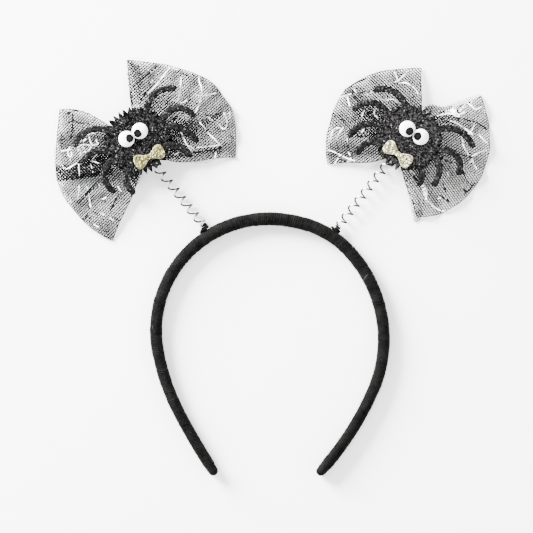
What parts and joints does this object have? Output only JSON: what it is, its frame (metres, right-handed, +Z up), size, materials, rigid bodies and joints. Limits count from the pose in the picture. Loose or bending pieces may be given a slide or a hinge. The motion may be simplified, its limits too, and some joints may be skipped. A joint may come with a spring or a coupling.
{
  "type": "spider headband",
  "caption": "Black ribbed headband with glitter foam spiders on gathered web net bows, held on springs above the crown; worn on the head as a party costume",
  "frame": {"origin": "middle of the underside of the whole headband as it lies flat", "axes": "+X across the head to the picture's right, +Y from the tips towards the crown and the bows, +Z up from the surface it lies on"},
  "size_m": [0.2388, 0.2286, 0.012],
  "materials": {
    "hoop_cloth": "ribbed black ribbon wound round the band, matt",
    "thread": "black thread, matt",
    "wire": "bright drawn wire",
    "net": "stiff open net with a printed web in silver and black",
    "band": "plain black tape",
    "foam": "black foam sheet covered in fine black glitter",
    "eye_white": "glossy white dome",
    "pupil": "glossy black dome",
    "gold": "foam sheet covered in fine pale gold glitter"
  },
  "bodies": {
    "root": {"headband": "hoop_cloth", "lashing_left": "thread", "lashing_right": "thread", "spring_left": "wire", "spring_right": "wire", "net_bow_left": "net", "net_bow_right": "net", "neck_band_left": "band", "neck_band_right": "band", "spider_left": "foam", "spider_right": "foam", "eyes_left": "eye_white", "eyes_right": "eye_white", "pupil_left_a": "pupil", "pupil_left_b": "pupil", "pupil_right_a": "pupil", "pupil_right_b": "pupil", "bow_tie_left": "gold", "bow_tie_right": "gold"}
  },
  "joints": []
}
